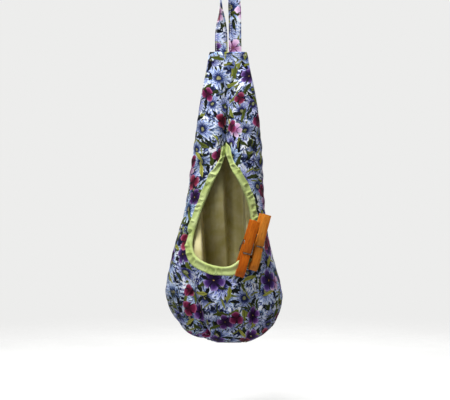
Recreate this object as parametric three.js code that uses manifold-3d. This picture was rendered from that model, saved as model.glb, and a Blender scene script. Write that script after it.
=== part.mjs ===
// Peg bag: a pear-shaped lined cotton bag with a bound teardrop mouth, hung from a strap loop,
// with two wooden spring pegs clipped on the rim of its mouth.
// Millimetres. +Z is up, +X is to the right seen from the front, -Y is the front.
// The origin is the inside of the strap loop's top, where a hook carries the bag.
import * as THREE from "three";
import { mergeVertices } from "three/addons/utils/BufferGeometryUtils.js";
import Module from "manifold-3d";

const wasm = await Module();
wasm.setup();

// Clearances.
const clearance = 0.3;
const jawClearance = 0.6;

// Cloth.
const outerThickness = 0.7;
const liningThickness = 0.5;
const bindingThickness = 0.5;
const bindingWidth = 9.5;

// Strap loop.
const strapWidth = 15;
const strapThickness = 2;
const strapSpacing = 16.6;
const tailLength = 12;
const loopDrop = 115;
const loopRadius = 7;
const leftTwist = { start: 4, end: 62 };
const rightTwist = { start: 44, end: 100 };

// Bag outline: stations by depth under the top seam, with the full width there
// and how far the front and the back stand out from the seam plane.
const bagHeight = 348;
const baseRoundRise = 5;
const baseTurnRise = 20;
const tailRoom = 2;
const seamFlare = 0.6;
const seamHalf = strapThickness / 2 + clearance + outerThickness;
const tailHalf = seamHalf + seamFlare;
const topSeam = { depth: 0, width: 46, front: seamHalf, back: seamHalf };
const tailEnd = { depth: tailLength + tailRoom, width: 50, front: tailHalf, back: tailHalf };
const shoulder = { depth: 60, width: 68, front: 17, back: 13 };
const mouthTop = { depth: 125, width: 83, front: 30, back: 21 };
const mouthMiddle = { depth: 190, width: 96, front: 39, back: 27 };
const sill = { depth: 250, width: 124, front: 52, back: 33 };
const belly = { depth: 290, width: 139, front: 51, back: 36 };
const baseTurn = { depth: bagHeight - baseTurnRise, width: 112, front: 43, back: 30 };
const baseRound = { depth: bagHeight - baseRoundRise, width: 84, front: 33, back: 22 };
const base = { depth: bagHeight, width: 58, front: 23, back: 14 };
const stations = [
  topSeam, tailEnd, shoulder, mouthTop, mouthMiddle, sill, belly, baseTurn, baseRound, base,
];
const seamPower = 6;
const bodyPower = 2;
const rowsPerStation = 2;
const ringSteps = 56;
const leastRow = 1;

// Crease down the middle of the front, deepest above the mouth's apex and gone beside the mouth.
const creaseDepth = 13;
const creaseWidth = 7.5;
const creaseTop = 20;
const creaseFull = 85;
const creaseEnd = 217;

// Darts that draw the front in over the base, from its sides towards its middle.
const dartWidth = 6.5;
const dartTop = { depth: 250, x: 47 };
const dartFull = 305;
const dartFoot = { depth: 342, x: 23 };
const dartFade = 0.4;
const darts = [{ side: -1, deep: 7 }, { side: 1, deep: 4 }];

// Teardrop mouth, along the folded edge of the binding.
const mouthApexDepth = 131;
const mouthWideDepth = 229;
const mouthSillDepth = 257;
const mouthWidth = 84;
const mouthSidePower = 1.5;
const mouthSideSteps = 12;
const mouthSillSteps = 8;

// Spring pegs. Length runs from the jaw tips to the handle ends.
const pegLength = 66;
const pegWidth = 10;
const leverHalf = 6;
const jawHalf = 4.4;
const jawNose = 9;
const recessAt = 12;
const recessRadius = 4;
const leverRelief = 1.2;
const coilAt = 40;
const grooveAt = 28;
const grooveWidth = 2;
const grooveDepth = 1;
const handleInner = 5.2;
const handleOuter = 8.2;
const squeeze = 10;
const wireRadius = 0.7;
const coilRadius = 2.3;
const coilTurns = 4;
const coilSteps = 8;
const wireSides = 5;
const wireBend = 1.2;
const gripDepth = 11;
const pegTip = 8;
const pegInset = 0.75;
const pegs = [
  { name: "peg_1", rimAngle: 66, lean: 15 },
  { name: "peg_2", rimAngle: 42, lean: 12 },
];

// Colours.
const printedCotton = new THREE.MeshStandardMaterial({ color: 0x8f93b4, roughness: 0.95, metalness: 0 });
const liningCotton = new THREE.MeshStandardMaterial({ color: 0xcbc9ae, roughness: 0.95, metalness: 0 });
const bindingCotton = new THREE.MeshStandardMaterial({ color: 0xb7c78a, roughness: 0.95, metalness: 0 });
const wood = new THREE.MeshStandardMaterial({ color: 0xa0622a, roughness: 0.6, metalness: 0 });
const wire = new THREE.MeshStandardMaterial({ color: 0x9a948a, roughness: 0.35, metalness: 1 });

const seamZ = -loopDrop;
const stackThickness = outerThickness + clearance + liningThickness;

// Smooth value of one station size at a depth, with no overshoot between stations.
function stationValue(key, depth) {
  const last = stations.length - 2;
  let i = 0;
  while (i < last && depth > stations[i + 1].depth) {
    i += 1;
  }
  const slope = (k) => {
    const from = stations[k];
    const to = stations[k + 1];
    return (to[key] - from[key]) / (to.depth - from.depth);
  };
  const tangent = (k) => {
    if (k === 0) {
      return slope(0);
    }
    if (k === stations.length - 1) {
      return slope(k - 1);
    }
    const before = slope(k - 1);
    const after = slope(k);
    return before * after > 0 ? (2 * before * after) / (before + after) : 0;
  };
  const span = stations[i + 1].depth - stations[i].depth;
  const t = (depth - stations[i].depth) / span;
  const rise = t * t * (3 - 2 * t);
  const bow = span * t * (1 - t);
  return (
    stations[i][key] * (1 - rise) +
    stations[i + 1][key] * rise +
    bow * ((1 - t) * tangent(i) - t * tangent(i + 1))
  );
}

// How far the crease and the darts draw the front in at a place on it.
function frontFold(x, depth) {
  const along = THREE.MathUtils.smoothstep(depth, creaseTop, creaseFull);
  const away = 1 - THREE.MathUtils.smoothstep(depth, mouthApexDepth, creaseEnd);
  const crease = creaseDepth * along * away * Math.exp(-((x / creaseWidth) ** 2));
  const down = THREE.MathUtils.clamp((depth - dartTop.depth) / (dartFoot.depth - dartTop.depth), 0, 1);
  const line = THREE.MathUtils.lerp(dartTop.x, dartFoot.x, down);
  const gather = THREE.MathUtils.smoothstep(depth, dartTop.depth, dartFull);
  const fade = 1 - dartFade * THREE.MathUtils.smoothstep(depth, dartFoot.depth, bagHeight);
  const dart = (side) => gather * fade * Math.exp(-(((x - side * line) / dartWidth) ** 2));
  return darts.reduce((fold, { side, deep }) => fold + deep * dart(side), crease);
}

// How full a cross-section is at a share of its half width: boxy at the seam, round further down.
function fullness(share, depth) {
  const round = THREE.MathUtils.smoothstep(depth, tailEnd.depth, shoulder.depth);
  const power = THREE.MathUtils.lerp(seamPower, bodyPower, round);
  return Math.max(0, 1 - Math.abs(share) ** power) ** (1 / power);
}

// One closed ring round the bag at a depth, grown outwards by an offset.
function bagRing(depth, offset) {
  const halfWidth = stationValue("width", depth) / 2 + offset;
  const front = stationValue("front", depth) + offset;
  const back = stationValue("back", depth) + offset;
  const z = seamZ - depth * (1 + offset / bagHeight);
  return Array.from({ length: ringSteps }, (_, k) => {
    const angle = (2 * Math.PI * k) / ringSteps;
    const x = halfWidth * Math.sin(angle);
    const out = fullness(Math.sin(angle), depth);
    const y = Math.cos(angle) > 0 ? (frontFold(x, depth) - front) * out : back * out;
    return new THREE.Vector3(x, y, z);
  });
}

// Geometry of a closed body through rings of equal point counts, with flat ends.
function loft(rings) {
  const count = rings[0].length;
  const positions = [];
  rings.forEach((ring) => ring.forEach((p) => positions.push(p.x, p.y, p.z)));
  const index = [];
  for (let r = 0; r + 1 < rings.length; r += 1) {
    for (let k = 0; k < count; k += 1) {
      const a = r * count + k;
      const b = r * count + ((k + 1) % count);
      index.push(a, a + count, b, b, a + count, b + count);
    }
  }
  const endStart = (rings.length - 1) * count;
  for (let k = 1; k + 1 < count; k += 1) {
    index.push(0, k, k + 1);
    index.push(endStart, endStart + k + 1, endStart + k);
  }
  const geometry = new THREE.BufferGeometry();
  geometry.setAttribute("position", new THREE.Float32BufferAttribute(positions, 3));
  geometry.setIndex(index);
  return geometry;
}

function solid(geometry) {
  const bare = geometry.clone();
  bare.deleteAttribute("normal");
  bare.deleteAttribute("uv");
  const merged = mergeVertices(bare, 1e-4);
  const made = new wasm.Manifold(new wasm.Mesh({
    numProp: 3,
    vertProperties: Float32Array.from(merged.attributes.position.array),
    triVerts: Uint32Array.from(merged.index.array),
  }));
  return made;
}

// The bag's form grown by an offset, from a depth down to the base, or from above that depth.
function bagSolid(offset, fromDepth, raise = 0) {
  const rings = [];
  const depths = [fromDepth];
  for (let i = 0; i + 1 < stations.length; i += 1) {
    for (let k = 1; k <= rowsPerStation; k += 1) {
      const step = (stations[i + 1].depth - stations[i].depth) / rowsPerStation;
      const depth = stations[i].depth + k * step;
      if (depth > fromDepth + leastRow) {
        depths.push(depth);
      }
    }
  }
  depths.forEach((depth) => rings.push(bagRing(depth, offset)));
  if (raise > 0) {
    rings.unshift(rings[0].map((p) => p.clone().setZ(p.z + raise)));
  }
  return solid(loft(rings));
}

function box(minX, minY, minZ, maxX, maxY, maxZ) {
  const geometry = new THREE.BoxGeometry(maxX - minX, maxY - minY, maxZ - minZ);
  geometry.translate((minX + maxX) / 2, (minY + maxY) / 2, (minZ + maxZ) / 2);
  return solid(geometry);
}

// Place on the front's outer face over a point of the front view, its folds left out.
function frontPoint(x, z) {
  const depth = seamZ - z;
  const halfWidth = stationValue("width", depth) / 2;
  const out = fullness(x / halfWidth, depth);
  return new THREE.Vector3(x, -stationValue("front", depth) * out, z);
}

function frontNormal(x, z) {
  const step = 0.5;
  const acrossX = frontPoint(x + step, z).sub(frontPoint(x - step, z));
  const acrossZ = frontPoint(x, z + step).sub(frontPoint(x, z - step));
  return acrossX.cross(acrossZ).normalize();
}

// Right half of the mouth's folded edge in the front view, from its apex to its sill.
function mouthHalf() {
  const points = [];
  for (let i = 0; i < mouthSideSteps; i += 1) {
    const u = 1 - i / mouthSideSteps;
    const x = (mouthWidth / 2) * (1 - u ** mouthSidePower);
    points.push(new THREE.Vector2(x, seamZ - mouthWideDepth + u * (mouthWideDepth - mouthApexDepth)));
  }
  for (let i = 0; i <= mouthSillSteps; i += 1) {
    points.push(mouthSillPoint((Math.PI / 2) * (i / mouthSillSteps)));
  }
  return points;
}

function mouthSillPoint(angle) {
  const x = (mouthWidth / 2) * Math.cos(angle);
  return new THREE.Vector2(x, seamZ - mouthWideDepth - (mouthSillDepth - mouthWideDepth) * Math.sin(angle));
}

// The mouth's outline stepped away from its folded edge by a distance along the cloth.
function mouthOutline(distance) {
  const edge = mouthHalf();
  const stepped = edge.map((p, i) => {
    const before = edge[Math.max(0, i - 1)];
    const after = i + 1 < edge.length ? edge[i + 1] : new THREE.Vector2(-before.x, before.y);
    const along = frontPoint(after.x, after.y).sub(frontPoint(before.x, before.y));
    const outward = along.cross(frontNormal(p.x, p.y)).normalize();
    const moved = frontPoint(p.x, p.y).addScaledVector(outward, -distance);
    return new THREE.Vector2(moved.x, moved.z);
  });
  const half = stepped.filter((p, i) => p.x > 0.5 && i + 1 < stepped.length);
  const [first, second] = half;
  const rise = (first.x * (first.y - second.y)) / (second.x - first.x);
  const apex = new THREE.Vector2(0, first.y + rise);
  const foot = new THREE.Vector2(0, stepped[stepped.length - 1].y);
  const mirrored = half.map((p) => new THREE.Vector2(-p.x, p.y)).reverse();
  return [apex, ...half, foot, ...mirrored];
}

// A prism of an outline of the front view, running through the front only.
function frontPrism(outline) {
  const reach = 2 * belly.front;
  const geometry = new THREE.ExtrudeGeometry(new THREE.Shape(outline), { depth: reach, bevelEnabled: false });
  geometry.rotateX(Math.PI / 2);
  return solid(geometry);
}

// The largest piece of a solid, as geometry.
function geometryOf(made) {
  const pieces = made.decompose().sort((a, b) => b.volume() - a.volume());
  const mesh = pieces[0].getMesh();
  const geometry = new THREE.BufferGeometry();
  geometry.setAttribute("position", new THREE.Float32BufferAttribute(mesh.vertProperties, 3));
  geometry.setIndex(Array.from(mesh.triVerts));
  geometry.computeVertexNormals();
  return geometry;
}

function mesh(name, geometry, material) {
  const made = new THREE.Mesh(geometry, material);
  made.name = name;
  return made;
}

// Bag body: two outer panels and two lining panels, cut by the mouth and parted at the side seams.
const far = 2 * belly.width;
const frontSide = box(-far, -far, -far * 3, far, -clearance / 2, far);
const backSide = box(-far, clearance / 2, -far * 3, far, far, far);
const liningOut = -outerThickness - clearance;
const liningIn = -stackThickness;
const liningDepth = tailEnd.depth + tailRoom;
const rawEdge = bindingThickness + clearance;
const mouthCut = frontPrism(mouthOutline(rawEdge));
const outerShell = bagSolid(0, 0).subtract(bagSolid(-outerThickness, 0, 5));
const liningShell = bagSolid(liningOut, liningDepth).subtract(bagSolid(liningIn, liningDepth, 5));

const bag = new THREE.Group();
bag.name = "bag";
bag.add(mesh("outer_front", geometryOf(outerShell.intersect(frontSide).subtract(mouthCut)), printedCotton));
bag.add(mesh("outer_back", geometryOf(outerShell.intersect(backSide)), printedCotton));
bag.add(mesh("lining_front", geometryOf(liningShell.intersect(frontSide).subtract(mouthCut)), liningCotton));
bag.add(mesh("lining_back", geometryOf(liningShell.intersect(backSide)), liningCotton));

// Binding: a folded strip that wraps the raw edges of the mouth, inside and outside.
const bindingOut = clearance + bindingThickness;
const bindingBand = frontPrism(mouthOutline(bindingWidth)).subtract(frontPrism(mouthOutline(0)));
const bindingBody = bagSolid(bindingOut, 0).subtract(bagSolid(-stackThickness - bindingOut, 0, 5));
const clothRoom = bagSolid(clearance, 0).subtract(bagSolid(-stackThickness - clearance, 0, 5));
const clothStrip = clothRoom.subtract(frontPrism(mouthOutline(bindingThickness)));
const binding = bindingBand.intersect(bindingBody).subtract(clothStrip);
bag.add(mesh("mouth_binding", geometryOf(binding), bindingCotton));

// Strap ends sewn between the panels at the top seam.
[["left", -1], ["right", 1]].forEach(([side, sign]) => {
  const tail = new THREE.BoxGeometry(strapWidth, strapThickness, tailLength);
  const made = mesh(`strap_end_${side}`, tail, printedCotton);
  made.position.set((sign * strapSpacing) / 2, 0, seamZ - tailLength / 2);
  bag.add(made);
});

// Strap loop: a flat strip whose legs each turn a quarter, so that it lies flat over a hook.
const foldZ = seamZ + clearance + strapThickness / 2;
const archZ = -loopRadius;
const archReach = loopRadius + strapThickness / 2;

function strapSection(centre, across, face, half) {
  const corner = (a, f) => centre.clone().addScaledVector(across, (a * strapWidth) / 2).addScaledVector(face, f * half);
  return [corner(-1, -1), corner(1, -1), corner(1, 1), corner(-1, 1)];
}

function strapLeg(sign, twist) {
  const sections = [];
  const half = strapThickness / 2;
  for (let i = 1; i <= 3; i += 1) {
    const turn = (Math.PI / 2) * (i / 3);
    const z = foldZ - half * Math.cos(turn);
    const centre = new THREE.Vector3((sign * strapSpacing) / 2, 0, z);
    sections.push(strapSection(centre, new THREE.Vector3(-sign, 0, 0), new THREE.Vector3(0, -1, 0), half * Math.sin(turn)));
  }
  const steps = 16;
  for (let i = 1; i <= steps; i += 1) {
    const rise = ((archZ - foldZ) * i) / steps;
    const turn = (Math.PI / 2) * THREE.MathUtils.smoothstep(rise, twist.start, twist.end);
    const ease = THREE.MathUtils.smoothstep(rise, 0, archZ - foldZ);
    const x = sign * THREE.MathUtils.lerp(strapSpacing / 2, archReach, ease);
    const across = new THREE.Vector3(-sign * Math.cos(turn), -Math.sin(turn), 0);
    const face = new THREE.Vector3(sign * Math.sin(turn), -Math.cos(turn), 0);
    sections.push(strapSection(new THREE.Vector3(x, 0, foldZ + rise), across, face, half));
  }
  return sections;
}

function strapArch() {
  const sections = [];
  const steps = 10;
  for (let i = 1; i < steps; i += 1) {
    const turn = (Math.PI * i) / steps;
    const face = new THREE.Vector3(-Math.cos(turn), 0, Math.sin(turn));
    const centre = new THREE.Vector3(0, 0, archZ).addScaledVector(face, archReach);
    sections.push(strapSection(centre, new THREE.Vector3(0, -1, 0), face, strapThickness / 2));
  }
  return sections;
}

const leftLeg = strapLeg(-1, leftTwist);
const rightLeg = strapLeg(1, rightTwist).reverse();
const strap = new THREE.Group();
strap.name = "strap";
strap.add(mesh("strap_loop", loft([...leftLeg, ...strapArch(), ...rightLeg]), printedCotton));

// Spring peg in its own axes: X across, Y out from the cloth, Z from the jaw tips to the handles.
const tipAngle = THREE.MathUtils.degToRad(pegTip);
const jawReach = stackThickness / 2 + bindingOut + jawClearance + (bindingWidth / 2) * Math.sin(tipAngle);
const openAngle = Math.asin(jawReach / (coilAt - recessAt + recessRadius));
const coilSeat = coilRadius + wireRadius + clearance;
const seatEnd = openAngle + THREE.MathUtils.degToRad(squeeze / 2) + clearance / coilSeat;

function leverShape() {
  const shape = new THREE.Shape();
  shape.moveTo(0, 0);
  shape.lineTo(recessAt - recessRadius, 0);
  shape.absarc(recessAt, 0, recessRadius, Math.PI, Math.asin(leverRelief / recessRadius), true);
  shape.absarc(coilAt, 0, coilSeat, Math.PI - Math.asin(leverRelief / coilSeat), seatEnd, true);
  shape.lineTo(pegLength, handleInner);
  shape.lineTo(pegLength, handleOuter);
  shape.lineTo(coilAt, leverHalf);
  shape.lineTo(grooveAt + grooveWidth / 2, leverHalf);
  shape.lineTo(grooveAt + grooveWidth / 2, leverHalf - grooveDepth);
  shape.lineTo(grooveAt - grooveWidth / 2, leverHalf - grooveDepth);
  shape.lineTo(grooveAt - grooveWidth / 2, leverHalf);
  shape.lineTo(jawNose, leverHalf);
  shape.quadraticCurveTo(jawNose / 4, leverHalf, 0, jawHalf / 2);
  return shape;
}

// A lever turned open about the coil; sign is 1 for the outer lever and -1 for the inner one.
function lever(sign) {
  const geometry = new THREE.ExtrudeGeometry(leverShape(), {
    depth: pegWidth,
    bevelEnabled: false,
    curveSegments: 8,
  });
  geometry.translate(-coilAt, 0, -pegWidth / 2);
  geometry.rotateZ(-openAngle);
  geometry.translate(coilAt, 0, 0);
  geometry.rotateY(-Math.PI / 2);
  if (sign < 0) {
    geometry.rotateZ(Math.PI);
  }
  return geometry;
}

// Middle line of the torsion spring: cross bar, arm, curls, arm, cross bar.
function springPath() {
  const side = pegWidth / 2 + clearance + wireRadius;
  const barRise = leverHalf - grooveDepth + clearance + wireRadius;
  const barEnd = pegWidth / 2 - 1;
  const run = coilAt - grooveAt;
  const barY = barRise * Math.cos(openAngle) + run * Math.sin(openAngle);
  const barZ = coilAt - run * Math.cos(openAngle) + barRise * Math.sin(openAngle);
  const reach = Math.hypot(coilAt - barZ, barY);
  const swing = Math.atan2(barY, coilAt - barZ) - Math.asin(coilRadius / reach);
  const startTurn = swing - Math.PI / 2;
  const sweep = 2 * Math.PI * coilTurns - 2 * startTurn;
  const half = [new THREE.Vector3(-barEnd, -barY, barZ)];
  const corner = new THREE.Vector3(side, -barY, barZ);
  const armEnd = new THREE.Vector3(side, coilRadius * Math.sin(startTurn), coilAt + coilRadius * Math.cos(startTurn));
  const towardArm = armEnd.clone().sub(corner).normalize();
  const bendIn = corner.clone().setX(side - wireBend);
  const bendOut = corner.clone().addScaledVector(towardArm, wireBend);
  const bend = new THREE.QuadraticBezierCurve3(bendIn, corner, bendOut);
  half.push(...bend.getPoints(3));
  half.push(bendOut.clone().lerp(armEnd, 0.5));
  const steps = Math.round((coilSteps * sweep) / (2 * Math.PI));
  const coil = Array.from({ length: steps + 1 }, (_, i) => {
    const turn = startTurn + (sweep * i) / steps;
    const x = THREE.MathUtils.lerp(side, -side, i / steps);
    return new THREE.Vector3(x, coilRadius * Math.sin(turn), coilAt + coilRadius * Math.cos(turn));
  });
  const otherHalf = half.map((p) => new THREE.Vector3(-p.x, -p.y, p.z)).reverse();
  return [...half, ...coil, ...otherHalf];
}

// Least gap between two stretches of the wire that aren't next to each other.
function wireGap(path) {
  const neighbours = Math.ceil(coilSteps / 2);
  let least = Infinity;
  path.forEach((p, i) => {
    path.slice(i + neighbours).forEach((q) => {
      least = Math.min(least, p.distanceTo(q) - 2 * wireRadius);
    });
  });
  return least;
}

// A closed tube of a few sides along a path of points.
function tube(path, radius, sides) {
  let across = new THREE.Vector3(0, 0, 1);
  const rings = path.map((p, i) => {
    const before = path[Math.max(0, i - 1)];
    const after = path[Math.min(path.length - 1, i + 1)];
    const along = after.clone().sub(before).normalize();
    across = across.clone().addScaledVector(along, -across.dot(along)).normalize();
    const over = along.clone().cross(across);
    return Array.from({ length: sides }, (_, k) => {
      const turn = (-2 * Math.PI * k) / sides;
      return p.clone().addScaledVector(across, radius * Math.cos(turn)).addScaledVector(over, radius * Math.sin(turn));
    });
  });
  return loft(rings);
}

const wirePath = springPath();
console.log(`least gap of the peg spring to itself: ${wireGap(wirePath).toFixed(2)} mm`);

// Each peg straddles the rim: its axis leans to the right and its handles tip forward off the cloth.
const root = new THREE.Group();
root.name = "peg_bag";
root.add(strap, bag);
pegs.forEach(({ name, rimAngle, lean }) => {
  const rim = mouthSillPoint(THREE.MathUtils.degToRad(rimAngle));
  const out = frontNormal(rim.x, rim.y);
  const tilt = THREE.MathUtils.degToRad(lean);
  const up = new THREE.Vector3(Math.sin(tilt), 0, Math.cos(tilt));
  up.y = -(up.x * out.x + up.z * out.z) / out.y;
  up.normalize();
  const across = out.clone().cross(up);
  const grip = frontPoint(rim.x, rim.y).addScaledVector(out, -stackThickness / 2 - pegInset);
  grip.addScaledVector(up, -bindingWidth / 2);
  up.applyAxisAngle(across, -tipAngle);
  out.applyAxisAngle(across, -tipAngle);
  const peg = new THREE.Group();
  peg.name = name;
  peg.add(mesh(`${name}_outer_lever`, lever(1), wood));
  peg.add(mesh(`${name}_inner_lever`, lever(-1), wood));
  peg.add(mesh(`${name}_spring`, tube(wirePath, wireRadius, wireSides), wire));
  peg.applyMatrix4(new THREE.Matrix4().makeBasis(across, out, up));
  peg.position.copy(grip).addScaledVector(up, bindingWidth / 2 - gripDepth);
  root.add(peg);
});

export default root;
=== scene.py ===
# Peg bag of printed cotton on a strap loop, with two wooden spring pegs on the rim of its mouth.
import math
from functools import partial

import bpy
import numpy as np
from mathutils import Matrix, Vector, noise


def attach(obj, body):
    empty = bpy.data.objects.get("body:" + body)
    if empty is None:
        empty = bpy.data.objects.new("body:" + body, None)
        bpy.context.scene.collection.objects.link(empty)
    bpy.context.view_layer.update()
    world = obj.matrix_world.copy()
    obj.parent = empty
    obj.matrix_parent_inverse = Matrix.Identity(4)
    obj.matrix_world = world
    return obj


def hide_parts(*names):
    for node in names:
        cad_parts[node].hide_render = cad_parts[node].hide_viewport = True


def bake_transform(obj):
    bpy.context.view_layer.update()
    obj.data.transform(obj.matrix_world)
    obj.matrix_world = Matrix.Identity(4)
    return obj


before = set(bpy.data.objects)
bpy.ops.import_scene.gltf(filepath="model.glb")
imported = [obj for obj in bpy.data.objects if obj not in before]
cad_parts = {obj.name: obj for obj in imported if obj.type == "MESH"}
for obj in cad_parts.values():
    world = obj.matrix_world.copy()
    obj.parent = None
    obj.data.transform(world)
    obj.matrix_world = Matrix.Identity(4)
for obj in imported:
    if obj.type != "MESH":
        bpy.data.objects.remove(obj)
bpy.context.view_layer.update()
scene = bpy.context.scene
scene.view_settings.view_transform = "Standard"



def linked(name, data):
    """An object with its data, put into the scene."""
    made = bpy.data.objects.new(name, data)
    scene.collection.objects.link(made)
    return made


# Camera: level, square to the bag, at the scale of the 450 by 400 picture.
PICTURE_WIDE, PIXEL = 450, 0.0012
CAMERA_X, CAMERA_AWAY, CAMERA_Z = -0.0012, 1.15, -0.2926
camera_lens = bpy.data.cameras.new("camera")
camera_lens.sensor_width = 36
camera_lens.lens = camera_lens.sensor_width * CAMERA_AWAY / (PICTURE_WIDE * PIXEL)
camera = linked("camera", camera_lens)
camera.location = (CAMERA_X, -CAMERA_AWAY, CAMERA_Z)
camera.rotation_euler = (math.pi / 2, 0, 0)
scene.camera = camera

# The form of the bag, in millimetres: depth under the top seam, full width, reach to front and to back.
MM = 0.001
SEAM_Z = -115.0
STATIONS = np.array([
    (0, 46, 2.0, 2.0),
    (14, 50, 2.6, 2.6),
    (60, 68, 17, 13),
    (125, 83, 30, 21),
    (190, 96, 39, 27),
    (250, 124, 52, 33),
    (290, 139, 51, 36),
    (328, 112, 43, 30),
    (343, 84, 33, 22),
    (348, 58, 23, 14),
], float)
BAG_HEIGHT = 348.0
BASE_SAG = 1.2
BASE_TAPER = 0.2
SEAM_POWER, BODY_POWER = 6.0, 2.0
SEAM_END, SHOULDER = 14.0, 60.0
MOUTH_HALF = 42.0
MOUTH_APEX, MOUTH_WIDE, MOUTH_SILL = 131.0, 229.0, 257.0
MOUTH_POWER = 1.5
CLOTH_THICK, LINING_THICK, TAPE_THICK = 0.7, 0.5, 0.5
TAPE_WIDTH = 9.5

# Cells of the cloth: across the top and the base, down each side, and from the mouth to the seams.
ACROSS, DOWN, OUTWARD = 48, 72, 30
# Steps of the centre line: down the side and under the base.
SIDE_STEPS, BASE_STEPS = 233, 12
# Steps in which the cloth is measured round the form.
FLAT_PARTS = 17
# The front's folds take up at most this share of its reach.
FOLD_ROOM = 0.75
# Where the back panel and the strap were cut from the printed cloth, beside the front panel.
BACK_ON_CLOTH, STRAP_ON_CLOTH = (260, 90), 300


def smoothstep(value, low, high):
    t = np.clip((value - low) / (high - low), 0, 1)
    return t * t * (3 - 2 * t)


def station(column, depth):
    """Smooth size of the bag at a depth, with no overshoot between the stations."""
    at, size = STATIONS[:, 0], STATIONS[:, column]
    slope = np.diff(size) / np.diff(at)
    product = slope[:-1] * slope[1:]
    total = np.where(product > 0, slope[:-1] + slope[1:], 1)
    inner = np.where(product > 0, 2 * product / total, 0)
    tangent = np.concatenate((slope[:1], inner, slope[-1:]))
    i = np.clip(np.searchsorted(at, depth, side="right") - 1, 0, len(at) - 2)
    span = at[i + 1] - at[i]
    t = (depth - at[i]) / span
    rise = t * t * (3 - 2 * t)
    bow = span * t * (1 - t) * ((1 - t) * tangent[i] - t * tangent[i + 1])
    return size[i] * (1 - rise) + size[i + 1] * rise + bow


def down_profile():
    """Half width, front, back and depth along the bag's centre line, from the top seam to the base seam."""
    depth = np.concatenate((np.linspace(0, BAG_HEIGHT, SIDE_STEPS), np.full(BASE_STEPS, BAG_HEIGHT)))
    under = np.concatenate((np.zeros(SIDE_STEPS), np.linspace(0, 1, BASE_STEPS + 1)[1:]))
    half = station(1, depth) / 2 * (1 - BASE_TAPER * under)
    front = station(2, depth) * (1 - under)
    back = station(3, depth) * (1 - under)
    drop = depth + BASE_SAG * np.sin(under * math.pi / 2)
    length = np.concatenate(([0], np.cumsum(np.hypot(np.diff(drop), np.diff(front)))))
    return length, half, front, back, drop


PROFILE_LENGTH, *PROFILE = down_profile()
PANEL_LENGTH = PROFILE_LENGTH[-1]


def profile(t):
    return [np.interp(t * PANEL_LENGTH, PROFILE_LENGTH, column) for column in PROFILE]


def share_down(depth):
    return np.interp(depth, PROFILE[3], PROFILE_LENGTH) / PANEL_LENGTH


def fullness(share, depth):
    """How full a cross-section is at a share of its half width: boxy at the seam, round further down."""
    power = SEAM_POWER + (BODY_POWER - SEAM_POWER) * smoothstep(depth, SEAM_END, SHOULDER)
    return np.maximum(0, 1 - np.abs(share) ** power) ** (1 / power)


def wander(depth, size, seed):
    """Slow uneven waves between about -1 and 1 down the cloth, as worn cloth has."""
    waves = [noise.noise(Vector((0, at, seed))) for at in (depth / size).ravel().tolist()]
    return np.array(waves).reshape(depth.shape)


# The centre crease wavers and leans on its way down and has a lip along each side. Its depths under the top
# seam are where it begins and is full, and where it fades and ends.
CREASE_DEPTH, CREASE_WIDTH, CREASE_SHARP = 21.0, 6.0, 1.3
CREASE_WAVER, CREASE_WAVE = 1.5, 24
CREASE_LEAN, CREASE_LEANS = 1.5, (60, 125)
LIP_HEIGHT, LIP_AT, LIP_WIDTH = 3.5, 15, 7
CREASE_BEGINS, CREASE_ENDS = (10, 66), (MOUTH_APEX, MOUTH_SILL - 40)
# Darts over the base and one at the left side: how deep and wide, where under the top seam and across,
# and the depths where each begins, is full, fades and ends.
DART_SHARP, DART_FADE = 1.15, 0.7
DARTS = (
    (22.0, 4.2, (250, 290, 342), (-42, -33, -20), (246, 284, 332, 350)),
    (12.0, 4.2, (250, 280, 342), (48, 39, 23), (250, 300, 335, 350)),
    (11.0, 4.2, (206, 224, 252), (-34, -46, -64), (204, 224, 240, 262)),
)


def front_fold(x, depth):
    """How far the front is drawn in by its centre crease and by the darts over its base."""
    sway = x - CREASE_WAVER * np.sin(depth / CREASE_WAVE) + CREASE_LEAN * smoothstep(depth, *CREASE_LEANS)
    gather = smoothstep(depth, *CREASE_BEGINS) * (1 - smoothstep(depth, *CREASE_ENDS))
    crease = CREASE_DEPTH * np.exp(-np.abs(sway / CREASE_WIDTH) ** CREASE_SHARP)
    lips = LIP_HEIGHT * np.exp(-(((np.abs(sway) - LIP_AT) / LIP_WIDTH) ** 2))
    fold = (crease - lips) * gather
    for deep, wide, down, aside, (begin, full, fade, end) in DARTS:
        gather = smoothstep(depth, begin, full) * (1 - DART_FADE * smoothstep(depth, fade, end))
        beside = np.abs((x - np.interp(depth, down, aside)) / wide)
        fold = fold + deep * gather * np.exp(-beside ** DART_SHARP)
    return fold


def bag_points(phi, t, side, inset=0.0):
    """Places on the form: phi runs from seam to seam, t from top to base, and side is -1 for the front."""
    half, front, back, depth = profile(t)
    half, front, back = half - inset, front - inset, back - inset
    share = np.sin(phi)
    x = half * share
    out = fullness(share, depth)
    fold = np.minimum(front_fold(x, depth), FOLD_ROOM * np.maximum(front, 0))
    reach = (fold - front) if side < 0 else back
    return np.stack((x, reach * out, SEAM_Z - depth), -1)


def front_points(x, depth):
    """Places on the front over points of the front view."""
    share = x / (station(1, depth) / 2)
    fold = np.minimum(front_fold(x, depth), FOLD_ROOM * station(2, depth))
    y = (fold - station(2, depth)) * fullness(share, depth)
    return np.stack((x, y, SEAM_Z - depth), -1)


def unit(vectors):
    return vectors / np.maximum(np.linalg.norm(vectors, axis=-1, keepdims=True), 1e-9)


def front_normals(x, depth):
    step = 0.4
    across = front_points(x + step, depth) - front_points(x - step, depth)
    down = front_points(x, depth + step) - front_points(x, depth - step)
    return unit(np.cross(down, across))


def run_along(points, axis=0):
    """Length from the first point to each one, along one axis of a line or net of points."""
    steps = np.linalg.norm(np.diff(points, axis=axis), axis=-1)
    return np.insert(np.cumsum(steps, axis=axis), 0, 0, axis=axis)


def at_run(at, run, points):
    """Places at given lengths along a line of points."""
    return np.stack([np.interp(at, run, column) for column in points.T], -1)


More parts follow.
